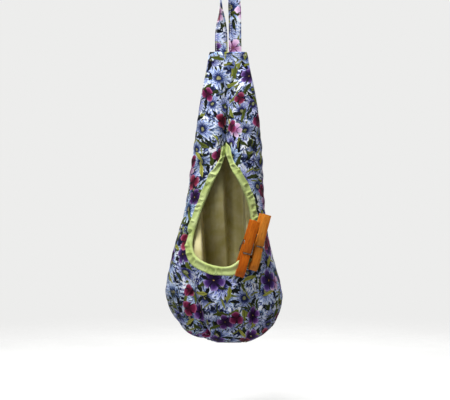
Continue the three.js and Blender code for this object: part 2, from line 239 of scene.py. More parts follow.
def even_loop(points, count):
    """A closed outline cut into equal steps."""
    closed = np.vstack((points, points[:1]))
    run = run_along(closed)
    return at_run(np.arange(count) * run[-1] / count, run, closed)


# How the mouth hangs: its sides are drawn in, more at the right, where the pegs are; its apex is a slit and
# swings aside; its sill is lifted, most of all by the first peg. Pairs of depths are where each begins and
# is full.
RIM_SIDE_POINTS, RIM_SILL_POINTS = 160, 80
DRAWN_BEGINS, DRAWN_FADES = (150, 212), 234
# Share of the half width that is drawn in, and the depth where that ends.
DRAWN_RIGHT, DRAWN_LEFT = (0.14, 247), (0.085, 257)
APEX_SLIT, APEX_ASIDE, APEX_STRAIGHTENS = 9, 2.4, (125, 190)
SILL_LIFT, SILL_LIFTS = 2, (236, 254)
PEG_LIFT, PEG_LIFT_X, PEG_LIFT_WIDTH = 6.5, 19, 10


def mouth_rim(count):
    """The mouth's folded edge in the front view, clockwise from its apex, with its outward directions."""
    u = np.linspace(1, 0, RIM_SIDE_POINTS)
    side = np.stack((MOUTH_HALF * (1 - u ** MOUTH_POWER), MOUTH_WIDE - (MOUTH_WIDE - MOUTH_APEX) * u), -1)
    a = np.linspace(0, math.pi / 2, RIM_SILL_POINTS)[1:]
    sill = np.stack((MOUTH_HALF * np.cos(a), MOUTH_WIDE + (MOUTH_SILL - MOUTH_WIDE) * np.sin(a)), -1)
    right = np.vstack((side, sill))
    left = right[-2:0:-1] * (-1, 1)
    x, depth = np.vstack((right, left)).T
    drawn, drawn_end = np.where(x[:, None] > 0, DRAWN_RIGHT, DRAWN_LEFT).T
    drawn_in = smoothstep(depth, *DRAWN_BEGINS) * drawn * (1 - smoothstep(depth, DRAWN_FADES, drawn_end))
    slit = APEX_SLIT * (1 - smoothstep(np.abs(x), 0, APEX_SLIT)) * (depth < MOUTH_WIDE)
    aside = APEX_ASIDE * (1 - smoothstep(depth, *APEX_STRAIGHTENS))
    by_peg = PEG_LIFT * np.exp(-(((x - PEG_LIFT_X) / PEG_LIFT_WIDTH) ** 2))
    lift = smoothstep(depth, *SILL_LIFTS) * (SILL_LIFT + by_peg)
    hung = np.stack((x * (1 - drawn_in) - aside, depth - slit - lift), -1)
    rim = even_loop(hung, count)
    along = np.roll(rim, -1, 0) - np.roll(rim, 1, 0)
    outward = unit(np.stack((along[:, 1], -along[:, 0]), -1))
    for _ in range(max(1, count // 60)):
        outward = unit((np.roll(outward, 1, 0) + 2 * outward + np.roll(outward, -1, 0)) / 4)
    return rim, outward


def step_out(rim, outward, distance, steps=8):
    """Points of the front view reached from the rim by going a distance along the cloth."""
    at = rim.copy()
    for _ in range(steps):
        pace = np.linalg.norm(front_points(*(at + outward).T) - front_points(*at.T), axis=1)
        at = at + outward * (distance / steps / pace)[:, None]
    return at


def new_piece(name, points, faces, uv=None):
    """A mesh at the origin from points in millimetres, with a flat cloth map in metres where one is given."""
    mesh = bpy.data.meshes.new(name)
    mesh.from_pydata((np.asarray(points).reshape(-1, 3) * MM).tolist(), [], faces)
    if uv is not None:
        corner = np.empty(len(mesh.loops), int)
        mesh.loops.foreach_get("vertex_index", corner)
        flat = mesh.uv_layers.new(name="cloth")
        flat.uv.foreach_set("vector", (uv.reshape(-1, 2)[corner] * MM).astype(np.float32).ravel())
    mesh.shade_smooth()
    return linked(name, mesh)


def only(piece):
    """Selects one piece alone, for the operators."""
    bpy.ops.object.select_all(action="DESELECT")
    piece.select_set(True)
    bpy.context.view_layer.objects.active = piece


def edit_all(piece, *steps):
    """Runs mesh operators with their settings on all of a piece."""
    only(piece)
    bpy.ops.object.mode_set(mode="EDIT")
    bpy.ops.mesh.select_all(action="SELECT")
    for operator, settings in steps:
        operator(**settings)
    bpy.ops.object.mode_set(mode="OBJECT")


def apply_modifier(piece, kind, **settings):
    modifier = piece.modifiers.new(kind.title(), kind)
    for name, value in settings.items():
        setattr(modifier, name, value)
    only(piece)
    bpy.ops.object.modifier_apply(modifier=modifier.name)


def grid_faces(rows, columns, closed=False):
    """Quads of a grid of points, row by row, joined round where the columns close."""
    faces = []
    for r in range(rows - 1):
        for c in range(columns if closed else columns - 1):
            d = (c + 1) % columns
            faces.append((r * columns + c, r * columns + d, (r + 1) * columns + d, (r + 1) * columns + c))
    return faces


def coordinates(piece):
    flat = np.empty(len(piece.data.vertices) * 3)
    piece.data.vertices.foreach_get("co", flat)
    return flat.reshape(-1, 3) / MM


def set_coordinates(piece, points):
    piece.data.vertices.foreach_set("co", (points * MM).ravel())
    piece.data.update()


def normals(piece):
    flat = np.empty(len(piece.data.vertices) * 3)
    piece.data.vertex_normals.foreach_get("vector", flat)
    return flat.reshape(-1, 3)


def weigh(piece, name, weights):
    """A vertex group with a weight for each point."""
    group = piece.vertex_groups.new(name=name)
    for i, weight in enumerate(weights.ravel().tolist()):
        group.add([i], weight, "REPLACE")


def flat_map(phi, t, side):
    """The cloth laid flat: length round the form from the centre line, and length down from the top seam."""
    parts = np.linspace(0, 1, FLAT_PARTS)
    points = bag_points(phi[..., None] * parts, np.repeat(t[..., None], FLAT_PARTS, -1), side)
    across = np.sign(phi) * np.linalg.norm(np.diff(points, axis=-2), axis=-1).sum(-1)
    return np.stack((across, -PANEL_LENGTH * t), -1)


# Front and back panel on one net of points: the front runs from the mouth to the seams, the back across from
# seam to seam. The raw edge lies a little outside the binding's fold.
SEAM_COUNT = 2 * (ACROSS + DOWN)
RAW_EDGE = 0.8
rim, rim_out = mouth_rim(SEAM_COUNT)
raw_edge = step_out(rim, rim_out, RAW_EDGE)
edge_phi = np.arcsin(np.clip(raw_edge[:, 0] / (station(1, raw_edge[:, 1]) / 2), -1, 1))
edge_t = share_down(raw_edge[:, 1])
seam_cells = (
    [(k, 0) for k in range(ACROSS // 2, ACROSS)]
    + [(ACROSS, j) for j in range(DOWN)]
    + [(k, DOWN) for k in range(ACROSS, 0, -1)]
    + [(0, j) for j in range(DOWN, 0, -1)]
    + [(k, 0) for k in range(ACROSS // 2)]
)
seam_phi = np.array([math.pi * (k / ACROSS - 0.5) for k, _ in seam_cells])
seam_t = np.array([j / DOWN for _, j in seam_cells])
going = np.linspace(0, 1, OUTWARD + 1)[:, None]
front_phi = edge_phi + (seam_phi - edge_phi) * going
front_t = edge_t + (seam_t - edge_t) * going
front_start = bag_points(front_phi, front_t, -1)
front_flat = flat_map(front_phi, front_t, -1)
back_phi, back_t = np.meshgrid(math.pi * (np.arange(ACROSS + 1) / ACROSS - 0.5), np.arange(DOWN + 1) / DOWN)
back_start = bag_points(back_phi, back_t, 1)
back_flat = flat_map(back_phi, back_t, 1) + BACK_ON_CLOTH

# Pins hold the top seam, the bound rim and, less, the side seams; between them the cloth is free to settle.
from_rim = np.linalg.norm(front_start - front_start[:1], axis=-1)
TOP_HELD, RIM_HELD, SEAM_HELD = (45, 85), (15, 34), 0.4
front_pin = np.maximum(1 - smoothstep(from_rim, *RIM_HELD), 1 - smoothstep(PANEL_LENGTH * front_t, *TOP_HELD))
front_pin[-1] = np.maximum(front_pin[-1], SEAM_HELD)
back_pin = 1 - smoothstep(PANEL_LENGTH * back_t, *TOP_HELD)

# Frames it settles for, its gap to the body, and how far it may move at all and inward, in millimetres.
SETTLE_FRAMES, SETTLE_GAP = 24, 0.8
SETTLE_CAP, SETTLE_IN = 5.0, 1.4
# The body that it hangs over: its points across and down, how far inside, and the share down where it begins.
BODY_ACROSS, BODY_DOWN, BODY_INSET, BODY_TOP = 41, 71, 2.5, 0.16


def settle(points, faces, pins, body, body_faces):
    """Lets the cloth hang over a body just inside it, and gives its points after that."""
    cloth = new_piece("settling_cloth", points, faces)
    facing = normals(cloth)
    mannequin = new_piece("settling_body", body, body_faces)
    mannequin.modifiers.new("Collision", "COLLISION")
    mannequin.collision.thickness_outer = SETTLE_GAP * MM
    mannequin.collision.cloth_friction = 12
    weigh(cloth, "held", pins)
    modifier = cloth.modifiers.new("Cloth", "CLOTH")
    for name, value in dict(
        quality=8, mass=0.02, air_damping=4, tension_stiffness=12, compression_stiffness=6, shear_stiffness=4,
        bending_stiffness=0.3, shrink_min=-0.035, vertex_group_mass="held",
    ).items():
        setattr(modifier.settings, name, value)
    modifier.collision_settings.distance_min = SETTLE_GAP * MM
    modifier.point_cache.frame_end = SETTLE_FRAMES
    for step in range(1, SETTLE_FRAMES + 1):
        scene.frame_set(step)
    moved = coordinates(cloth.evaluated_get(bpy.context.evaluated_depsgraph_get())) - points
    scene.frame_set(1)
    for piece in (cloth, mannequin):
        bpy.data.meshes.remove(piece.data)
    far = np.linalg.norm(moved, axis=1, keepdims=True)
    moved *= np.minimum(1, SETTLE_CAP / np.maximum(far, 1e-6))
    inward = np.maximum(0, -(moved * facing).sum(1, keepdims=True) - SETTLE_IN)
    return points + moved + facing * inward


front_index = np.arange(front_start.size // 3).reshape(OUTWARD + 1, SEAM_COUNT)
back_index = np.full((DOWN + 1, ACROSS + 1), -1)
for column, (k, j) in enumerate(seam_cells):
    if j > 0 or k in (0, ACROSS):
        back_index[j, k] = front_index[-1, column]
inner_cells = back_index < 0
back_index[inner_cells] = front_index.size + np.arange(inner_cells.sum())
bag_start = np.vstack((front_start.reshape(-1, 3), back_start[inner_cells]))
front_faces = grid_faces(OUTWARD + 1, SEAM_COUNT, closed=True)
back_faces = grid_faces(DOWN + 1, ACROSS + 1)
bag_faces = front_faces + [tuple(back_index.ravel()[list(face)].tolist()) for face in back_faces]
bag_pins = np.concatenate((front_pin.ravel(), back_pin[inner_cells]))

bag_settled = bag_start
body_phi, body_t = np.meshgrid(
    np.linspace(-math.pi / 2, math.pi / 2, BODY_ACROSS), np.linspace(BODY_TOP, 1, BODY_DOWN)
)
body_sides = [bag_points(body_phi, body_t, side, BODY_INSET).reshape(-1, 3) for side in (-1, 1)]
half_faces = grid_faces(BODY_DOWN, BODY_ACROSS)
back_half = [tuple(i + body_phi.size for i in face) for face in half_faces]
front_half = [face[::-1] for face in half_faces]
bag_settled = settle(bag_start, bag_faces, bag_pins, np.vstack(body_sides), front_half + back_half)
front_settled = bag_settled[front_index]
back_settled = bag_settled[back_index]


def thicken(piece, thickness):
    """Gives a sheet its real thickness, inward."""
    apply_modifier(piece, "SOLIDIFY", thickness=thickness * MM, offset=-1.0)
    piece.data.shade_smooth()


def sewn_panel(name, points, faces, uv, thickness, drawn, tuck, inset=0.0):
    """A cloth panel of real thickness, set in by one depth all over and by a tuck where it is drawn in."""
    piece = new_piece(name, points, faces, uv)
    weigh(piece, "drawn", drawn)
    apply_modifier(piece, "SUBSURF", levels=1, render_levels=1)
    weight = np.array([sum(g.weight for g in v.groups) for v in piece.data.vertices])
    set_coordinates(piece, coordinates(piece) - normals(piece) * (inset + tuck * weight ** 2)[:, None])
    thicken(piece, thickness)
    piece.vertex_groups.clear()
    return piece


# The seams are drawn in; along the top only beside the strap's ends, which lie between the panels.
BESIDE_STRAP, SEAM_TUCK = (0.7, 0.84), 1.0
front_sewn = np.zeros(front_index.shape)
front_sewn[-1] = np.where(seam_t > 0, 1, smoothstep(np.abs(np.sin(seam_phi)), *BESIDE_STRAP))
back_sewn = np.ones(back_index.shape)
back_sewn[1:-1, 1:-1] = 0
back_sewn[0] = smoothstep(np.abs(np.sin(back_phi[0])), *BESIDE_STRAP)
front_panel = sewn_panel(
    "front_panel", front_settled, front_faces, front_flat, CLOTH_THICK, front_sewn, SEAM_TUCK
)
back_panel = sewn_panel("back_panel", back_settled, back_faces, back_flat, CLOTH_THICK, back_sewn, SEAM_TUCK)

# Linings: the front one lies inside the front panel; the back one hangs in upright folds, deep at both sides.
LINING_INSET, LINING_SLACK, LINING_ROOM = 1.5, 1.0, 2.6
LINING_BELOW_SEAM, LINING_FREE = 30, (14, 34)
LINING_TOP = share_down(LINING_BELOW_SEAM)
front_lining_t = edge_t + (LINING_TOP + (1 - LINING_TOP) * seam_t - edge_t) * going
front_lining_flat = flat_map(front_phi, front_lining_t, -1)
front_lining = sewn_panel(
    "front_lining", bag_points(front_phi, front_lining_t, -1), front_faces, front_lining_flat, LINING_THICK,
    smoothstep(from_rim, *LINING_FREE), LINING_SLACK, LINING_INSET
)
LINING_ACROSS, LINING_DOWN = 220, 80
LINING_SIDE, LINING_SPAN = 87, (0.02, 0.985)
# Folds of the back lining: place across, and how far it comes forward as a share of the room inside.
PLEATS = np.array((
    (-62, 0.86), (-44, 0.87), (-38, 0.87), (-34, 0.85), (-31.2, 0.82), (-30.6, 0.4), (-30, 0.1),
    (-25, 0.24), (-20, 0.4), (-15, 0.53), (-10, 0.63), (-6, 0.68), (-4.2, 0.68), (-3.2, 0.34), (-2.2, 0.02),
    (1, 0), (6, 0.1), (9, 0.12), (13, 0.08), (18.5, 0), (20, 0.04), (20.6, 0.4), (21.2, 0.66),
    (28, 0.68), (34, 0.76), (40, 0.84), (62, 0.86),
))
# They sway, wander and slant on their way down, open out under the apex and close again towards the base.
PLEAT_SWAY, PLEAT_WAVE = 2, 60
PLEAT_WANDER, WANDER_SIZE, WANDER_SEED = 1.2, 45, 3.1
PLEAT_SLANT, PLEAT_SLANTS = 3.5, (150, 250)
PLEATS_OPEN, PLEATS_CLOSE, PLEATS_CLOSED = (90, 165), (275, 340), 0.85
# The middle fold, between two places across, comes forward under the apex and lies back lower down.
MIDDLE_LEFT, MIDDLE_RIGHT = (-31, -29.5), (19.5, 21)
MIDDLE_BACK, MIDDLE_LIES_BACK = 0.66, (165, 245)
lining_phi, lining_t = np.meshgrid(
    np.radians(np.linspace(-LINING_SIDE, LINING_SIDE, LINING_ACROSS + 1)),
    np.linspace(*LINING_SPAN, LINING_DOWN + 1),
)
lining_points = bag_points(lining_phi, lining_t, 1, LINING_ROOM)
lining_front = bag_points(lining_phi, lining_t, -1, LINING_ROOM)
lining_depth = SEAM_Z - lining_points[..., 2]
pleat_x = lining_points[..., 0] + PLEAT_SWAY * np.sin(lining_depth / PLEAT_WAVE)
pleat_x = pleat_x + PLEAT_WANDER * wander(lining_depth, WANDER_SIZE, WANDER_SEED)
pleat_x = pleat_x - PLEAT_SLANT * smoothstep(lining_depth, *PLEAT_SLANTS)
pleat = np.interp(pleat_x, *PLEATS.T)
pleat[:, 1:-1] = (pleat[:, :-2] + 2 * pleat[:, 1:-1] + pleat[:, 2:]) / 4
pleat *= smoothstep(lining_depth, *PLEATS_OPEN)
pleat *= 1 - PLEATS_CLOSED * smoothstep(lining_depth, *PLEATS_CLOSE)
middle_fold = smoothstep(pleat_x, *MIDDLE_LEFT) * (1 - smoothstep(pleat_x, *MIDDLE_RIGHT))
pleat *= 1 - MIDDLE_BACK * middle_fold * smoothstep(lining_depth, *MIDDLE_LIES_BACK)
lining_points[..., 1] += pleat * (lining_front - lining_points)[..., 1]
# Its flat size is measured along the folds, row by row.
lining_run = run_along(lining_points, axis=1)
lining_flat = np.stack((lining_run - lining_run[:, -1:] / 2, -PANEL_LENGTH * lining_t), -1)
lining_faces = grid_faces(LINING_DOWN + 1, LINING_ACROSS + 1)
back_lining = new_piece("back_lining", lining_points, lining_faces, lining_flat)
thicken(back_lining, LINING_THICK)

# Bias binding: a strip folded round the raw edges of the mouth, puckered where it was eased round the curve.
# It is wider in the corner at the apex, drifts in width round the rim, and is pressed flat near the pegs.
BINDING_SECTIONS = 380
PEG_RIM, PEG_PRESS = ((17.1, 252.0), (31.2, 246.5)), (7, 14)
CORNER_EXTRA, CORNER_REACH, WIDTH_DRIFT = 4.5, 5, 0.7
binding_rim, binding_out = mouth_rim(BINDING_SECTIONS)
rim_step = np.linalg.norm(np.roll(binding_rim, -1, 0) - binding_rim, axis=1)
rim_run = np.concatenate(([0], np.cumsum(rim_step)[:-1]))
rim_length = rim_step.sum()
from_apex = np.minimum(rim_run, rim_length - rim_run)
from_pegs = np.min([np.linalg.norm(binding_rim - peg, axis=1) for peg in PEG_RIM], axis=0)
tape_free = smoothstep(from_pegs, *PEG_PRESS)
around = 2 * math.pi * rim_run / rim_length
tape_width = TAPE_WIDTH + CORNER_EXTRA * np.exp(-((from_apex / CORNER_REACH) ** 2))
tape_width = tape_width - WIDTH_DRIFT * np.cos(around) + WIDTH_DRIFT * np.sin(around)
tape_width = tape_width + tape_free * (0.5 * np.sin(7 * around + 0.8) + 0.4 * np.sin(17 * around))
# Puckers round the rim, unevenly apart and unevenly high.
PUCKERS = 34
pucker_phase = PUCKERS * around + 2.4 * np.sin(5 * around) + 1.7 * np.sin(11 * around + 1)
pucker_phase = pucker_phase + 0.8 * np.sin(23 * around)
pucker_size = tape_free * (1.05 + 0.4 * np.sin(3 * around + 2) + 0.35 * np.sin(8 * around))


def tape_ripple(share):
    """Height of the puckers at a share of the strip's width: none along its edges."""
    wave = np.sin(pucker_phase + 3 * share) + 0.4 * np.sin(2.3 * pucker_phase - 1.5 * share)
    return pucker_size * wave * math.sin(math.pi * min(1, max(0, share)) ** 1.3)


# Across the strip from its outer edge round the fold to its inner edge: share of the width, height over
# the cloth.
TAPE_SECTION = (
    (1.0, 0.1), (0.98, 0.8), (0.9, 1.2), (0.78, 0.85), (0.62, 0.45), (0.45, 0.45), (0.3, 0.95), (0.17, 1.5),
    (0.06, 1.4), (-0.03, 0.7), (-0.08, -0.4), (-0.06, -1.3), (0.02, -1.95), (0.13, -2.3), (0.32, -2.35),
    (0.55, -2.35), (0.78, -2.35), (0.92, -2.2),
)
# The puckers leave the strip at least this far over the cloth.
TAPE_LIFT = 0.35
tape_rows = []
for share, height in TAPE_SECTION:
    place = step_out(binding_rim, binding_out, share * tape_width)
    ripple = tape_ripple(share)
    lift = np.maximum(height + ripple, min(height, TAPE_LIFT)) if height > 0 else height + 0.3 * ripple
    tape_rows.append(front_points(*place.T) + front_normals(*place.T) * lift[:, None])
tape_points = np.array(tape_rows)
tape_v = np.broadcast_to(rim_run, tape_points.shape[:2])
tape_u = run_along(tape_points)
tape_faces = [face[::-1] for face in grid_faces(len(TAPE_SECTION), BINDING_SECTIONS, closed=True)]
binding_tape = new_piece("binding_tape", tape_points, tape_faces, np.stack((tape_u, tape_v), -1))
thicken(binding_tape, TAPE_THICK)

# Strap: one folded strip from its left sewn end over the arch to its right one, each leg turning a quarter.
STRAP_SPACING = 16.6
STRAP_TAIL = 11.0
FOLD_Z = -113.7
ARCH_Z, ARCH_REACH = -7.0, 8.0
STRAP_TWIST = {-1: (4, 62), 1: (44, 100)}
# A quarter of the strip's section, with a groove where it is stitched: across and through.
STRAP_QUARTER = np.array(((7.5, 0.35), (7.25, 0.8), (6.3, 1.0), (5.6, 0.86), (4.9, 1.0), (2, 1.04)))
section = np.vstack((
    -STRAP_QUARTER, STRAP_QUARTER[::-1] * (1, -1), STRAP_QUARTER, STRAP_QUARTER[::-1] * (-1, 1)
))


def strap_leg(sign):
    """Middle, across and face directions of one leg, from its sewn end up to the arch."""
    rise = np.concatenate((np.linspace(-STRAP_TAIL, 0, 6)[:-1], np.linspace(0, ARCH_Z - FOLD_Z, 56)))
    turn = math.pi / 2 * smoothstep(rise, *STRAP_TWIST[sign])
    reach = STRAP_SPACING / 2 + (ARCH_REACH - STRAP_SPACING / 2) * smoothstep(rise, 0, ARCH_Z - FOLD_Z)
    nothing = 0 * rise
    middle = np.stack((sign * reach, nothing, FOLD_Z + rise), -1)
    across = np.stack((-sign * np.cos(turn), -np.sin(turn), nothing), -1)
    face = np.stack((sign * np.sin(turn), -np.cos(turn), nothing), -1)
    return middle, across, face


def strap_line():
    turn = np.linspace(0, math.pi, 25)[1:-1]
    arch_face = np.stack((-np.cos(turn), 0 * turn, np.sin(turn)), -1)
    arch_across = np.broadcast_to((0.0, -1.0, 0.0), arch_face.shape)
    arch = (np.array((0, 0, ARCH_Z)) + ARCH_REACH * arch_face, arch_across, arch_face)
    left, right = strap_leg(-1), [part[::-1] for part in strap_leg(1)]
    return [np.vstack(parts) for parts in zip(left, arch, right)]


strap_middle, strap_across, strap_face = strap_line()
strap_run = run_along(strap_middle)
strap_wave = 0.22 * np.sin(strap_run / 6.1) + 0.18 * np.sin(strap_run / 2.9 + 1)
strap_points = (
    strap_middle[:, None]
    + strap_across[:, None] * (section[:, :1] * (1 + 0.02 * strap_wave[:, None, None]))
    + strap_face[:, None] * (section[:, 1:] + 0.25 * strap_wave[:, None, None] * np.cos(section[:, :1] / 5))
)
strap_flat = np.stack(np.broadcast_arrays(section[:, 0] + STRAP_ON_CLOTH, strap_run[:, None]), -1)
strap_count = len(section)
strap_faces = grid_faces(len(strap_middle), strap_count, closed=True)
strap_end = (len(strap_middle) - 1) * strap_count
strap_faces += [tuple(range(strap_count))[::-1], tuple(range(strap_end, strap_end + strap_count))]
strap_strip = new_piece("strap_strip", strap_points, strap_faces, strap_flat)
edit_all(strap_strip, (bpy.ops.mesh.normals_make_consistent, {"inside": False}))
strap_strip.data.shade_smooth()

# Spring pegs, in their own axes: across, out from the cloth, and up from the jaw tips, in metres.
PEG_FRAMES = {
    "peg_1": (
        (0.013722, -0.048474, -0.380140),
        (-0.939211, -0.215976, 0.266901),
        (0.188144, -0.974013, -0.126100),
        (0.287200, -0.068218, 0.955438),
    ),
    "peg_2": (
        (0.027924, -0.044669, -0.373434),
        (-0.872403, -0.411337, 0.264037),
        (0.411246, -0.909656, -0.058334),
        (0.264178, 0.057693, 0.962747),
    ),
}
COIL_AT, GROOVE_AT = 40.0, 28.0
COIL_RADIUS, WIRE_RADIUS, COIL_TURNS = 2.3, 0.7, 4
WIRE_SIDE, BAR_RISE, BAR_END, WIRE_BEND = 6.0, 6.0, 4.0, 1.4
OPEN_ANGLE = math.asin(2.8111 / 32)


def peg_matrix(name):
    origin, across, out, up = (Vector(v) for v in PEG_FRAMES[name])
    return Matrix.Translation(origin) @ Matrix((across, out, up)).transposed().to_4x4()


def wooden_lever(node):
    """A lever with its sawn edges broken, from a merged copy of its solid."""
    piece = linked(node + "_wood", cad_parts[node].data.copy())
    piece.data.materials.clear()
    edit_all(piece, (bpy.ops.mesh.remove_doubles, {"threshold": 2e-5}),
             (bpy.ops.mesh.dissolve_limited, {"angle_limit": math.radians(2)}))
    apply_modifier(
        piece, "BEVEL", width=0.45 * MM, segments=2, limit_method="ANGLE", angle_limit=math.radians(35)
    )
    only(piece)
    bpy.ops.object.shade_smooth_by_angle(angle=math.radians(32))
    return piece


def spring_line():
    """Middle line of the torsion spring: cross bar, arm, curls, arm, cross bar."""
    run = COIL_AT - GROOVE_AT
    bar_y = BAR_RISE * math.cos(OPEN_ANGLE) + run * math.sin(OPEN_ANGLE)
    bar_z = COIL_AT - run * math.cos(OPEN_ANGLE) + BAR_RISE * math.sin(OPEN_ANGLE)
    reach = math.hypot(COIL_AT - bar_z, bar_y)
    start = math.atan2(bar_y, COIL_AT - bar_z) - math.asin(COIL_RADIUS / reach) - math.pi / 2
    sweep = 2 * math.pi * COIL_TURNS - 2 * start
    corner = np.array((WIRE_SIDE, -bar_y, bar_z))
    arm_end = np.array((WIRE_SIDE, COIL_RADIUS * math.sin(start), COIL_AT + COIL_RADIUS * math.cos(start)))
    bend_in = corner - (WIRE_BEND, 0, 0)
    bend_out = corner + WIRE_BEND * unit(arm_end - corner)
    share = np.linspace(0, 1, 7)[:, None]
    bend = (1 - share) ** 2 * bend_in + 2 * share * (1 - share) * corner + share ** 2 * bend_out
    bar = np.linspace((-BAR_END, -bar_y, bar_z), bend_in, 7)[:-1]
    arm = np.linspace(bend_out, arm_end, 7)[1:-1]
    turn = start + sweep * np.linspace(0, 1, 24 * COIL_TURNS)
    side = np.linspace(WIRE_SIDE, -WIRE_SIDE, 24 * COIL_TURNS)
    coil = np.stack((side, COIL_RADIUS * np.sin(turn), COIL_AT + COIL_RADIUS * np.cos(turn)), -1)
    half = np.vstack((bar, bend, arm))
    return np.vstack((half, coil, (half * (-1, -1, 1))[::-1]))


def spring_wire(name):
    """One unbroken round wire along the spring's middle line, with closed ends."""
    curve = bpy.data.curves.new(name + "_spring_wire", "CURVE")
    curve.dimensions = "3D"
    curve.bevel_depth = WIRE_RADIUS * MM
    curve.bevel_resolution = 3
    curve.use_fill_caps = True
    line = [peg_matrix(name) @ Vector(p * MM) for p in spring_line()]
    spline = curve.splines.new("POLY")
    spline.points.add(len(line) - 1)
    for point, place in zip(spline.points, line):
        point.co = (*place, 1)
    only(linked(name + "_spring_wire", curve))
    bpy.ops.object.convert(target="MESH")
    piece = bpy.context.object
    piece.data.shade_smooth()
    return piece


PEG_PARTS = ("outer_lever", "inner_lever")
peg_levers = {(name, part): wooden_lever(f"{name}_{part}") for name in PEG_FRAMES for part in PEG_PARTS}
peg_springs = {name: spring_wire(name) for name in PEG_FRAMES}

# Stitches: one plump thread shape, modelled once and laid along each sewn line.
STITCH_PITCH, STITCH_LONG, STITCH_THICK = 2.7, 1.9, 0.5


def stitch_shape():
    bpy.ops.object.select_all(action="DESELECT")
    bpy.ops.mesh.primitive_cylinder_add(vertices=6, radius=0.5, depth=0.62, rotation=(0, math.pi / 2, 0))
    thread = bpy.context.object
    bpy.ops.object.transform_apply(location=True, rotation=True, scale=True)
    for end in (-1, 1):
        bpy.ops.object.mode_set(mode="EDIT")
        bpy.ops.mesh.select_all(action="DESELECT")
        bpy.ops.object.mode_set(mode="OBJECT")
        for face in thread.data.polygons:
            face.select = face.normal.x * end > 0.9
        bpy.ops.object.mode_set(mode="EDIT")
        bpy.ops.mesh.extrude_region_move(TRANSFORM_OT_translate={"value": (0.19 * end, 0, -0.3)})
        bpy.ops.transform.resize(value=(1, 0.5, 0.5))
        bpy.ops.object.mode_set(mode="OBJECT")
    points = coordinates(thread) * MM
    faces = [tuple(face.vertices) for face in thread.data.polygons]
    bpy.data.meshes.remove(thread.data)
    return points, faces


stitch_points, stitch_faces = stitch_shape()


def sewn_line(name, line, up, pitch=STITCH_PITCH, long=STITCH_LONG, thick=STITCH_THICK):
    """A row of stitches along a line of points with the cloth's outward directions."""
    run = run_along(line)
    count = max(2, int(run[-1] / pitch))
    at = (np.arange(count) + 0.5) * run[-1] / count
    place, ahead, behind = (at_run(at + step, run, line) for step in (0, 0.3, -0.3))
    along = unit(ahead - behind)
    over = unit(at_run(at, run, up))
    side = unit(np.cross(over, along))
    over = np.cross(along, side)
    local = stitch_points * (long, thick, thick)
    points = place[:, None] + sum(
        way[:, None] * local[None, :, k:k + 1] for k, way in enumerate((along, side, over))
    )
    shift = len(stitch_points)
    faces = [tuple(i + k * shift for i in face) for k in range(count) for face in stitch_faces]
    return new_piece(name, points, faces)


TAPE_STITCH = 0.88
binding_line = step_out(binding_rim, binding_out, TAPE_STITCH * tape_width)
binding_up = front_normals(*binding_line.T)
binding_lift = np.maximum(1.0 + tape_ripple(TAPE_STITCH), TAPE_LIFT) + 0.05
binding_over = front_points(*binding_line.T) + binding_up * binding_lift[:, None]
binding_stitches = sewn_line("binding_stitches", binding_over, binding_up)

# Lines over the top seam and the base seam, each through as many points.
LINE_POINTS = 60
TOP_STITCH, BASE_STITCH = 4.0, 343.5
top_x = np.linspace(-22.3, 22.3, LINE_POINTS)
top_front = front_points(top_x, np.full(LINE_POINTS, TOP_STITCH)) + (0, -0.12, 0)
top_up = np.broadcast_to((0.0, -1.0, 0.0), (LINE_POINTS, 3))
top_front_stitches = sewn_line("top_front_stitches", top_front, top_up)
top_back_stitches = sewn_line("top_back_stitches", top_front * (1, -1, 1), -top_up)
base_x = np.linspace(-27, 30, LINE_POINTS)
base_depth = BASE_STITCH - 0.004 * base_x ** 2
base_up = front_normals(base_x, base_depth)
base_line = front_points(base_x, base_depth) + base_up * 0.1
base_stitches = sewn_line("base_stitches", base_line, base_up, pitch=4.2, long=2.6, thick=0.6)

# Lines along the grooves of the strap's faces, outside the top seam.
GROOVE_X, GROOVE_LIFT = 5.6, 0.95
strap_edges = {}
outside = slice(5, -5)
for face_side, face_name in ((-1, "back"), (1, "front")):
    for edge_side, edge_name in ((-1, "right"), (1, "left")):
        edge_line = strap_middle + strap_across * (GROOVE_X * edge_side)
        edge_line = edge_line + strap_face * (GROOVE_LIFT * face_side)
        name = f"strap_stitches_{face_name}_{edge_name}"
        strap_edges[name] = sewn_line(name, edge_line[outside], strap_face[outside] * face_side)

# The bag hangs a little askew: its top to the right of the strap's hook, its full side out to the left.
ASKEW_Z = (-463, -420, -385, -360, -330, -290, -246, -190, -140, -70, 0)
ASKEW_X = (1.5, 0.5, 0, 0, 0, 1.3, 1.8, 3.0, 2.8, 2.4, 0)
FULL_Z = (-440, -400, -355, -300, -230)
FULL_X = (0, -3.2, -4.6, -2, 0)
# The base seam rides up, most of all at its left corner.
RISE_Z, RISE = (-465, -440, -395), (4.6, 2.6, 0)
CORNER_X, CORNER_RISE = (-44, -27, -12, 28, 44), (0.5, 3.2, 0, 0, 2)
for piece in (front_panel, back_panel, front_lining, back_lining, binding_tape, strap_strip, binding_stitches,
              top_front_stitches, top_back_stitches, base_stitches, *strap_edges.values()):
    hung = coordinates(piece)
    x, z = hung[:, 0], hung[:, 2]
    half = station(1, np.clip(SEAM_Z - z, 0, BAG_HEIGHT)) / 2
    aside = np.interp(z, ASKEW_Z, ASKEW_X) + np.interp(z, FULL_Z, FULL_X) * np.minimum(1, (x / half) ** 2)
    low_down = 1 - smoothstep(z, -465, -430)
    up = np.interp(z, RISE_Z, RISE) + low_down * np.interp(x, CORNER_X, CORNER_RISE)
    set_coordinates(piece, np.stack((x + aside, hung[:, 1], z + up), -1))


def linear(colour):
    """An sRGB hex value as a linear colour."""
    channels = [(colour >> shift & 255) / 255 for shift in (16, 8, 0)]
    return (*(c / 12.92 if c <= 0.04045 else ((c + 0.055) / 1.055) ** 2.4 for c in channels), 1.0)


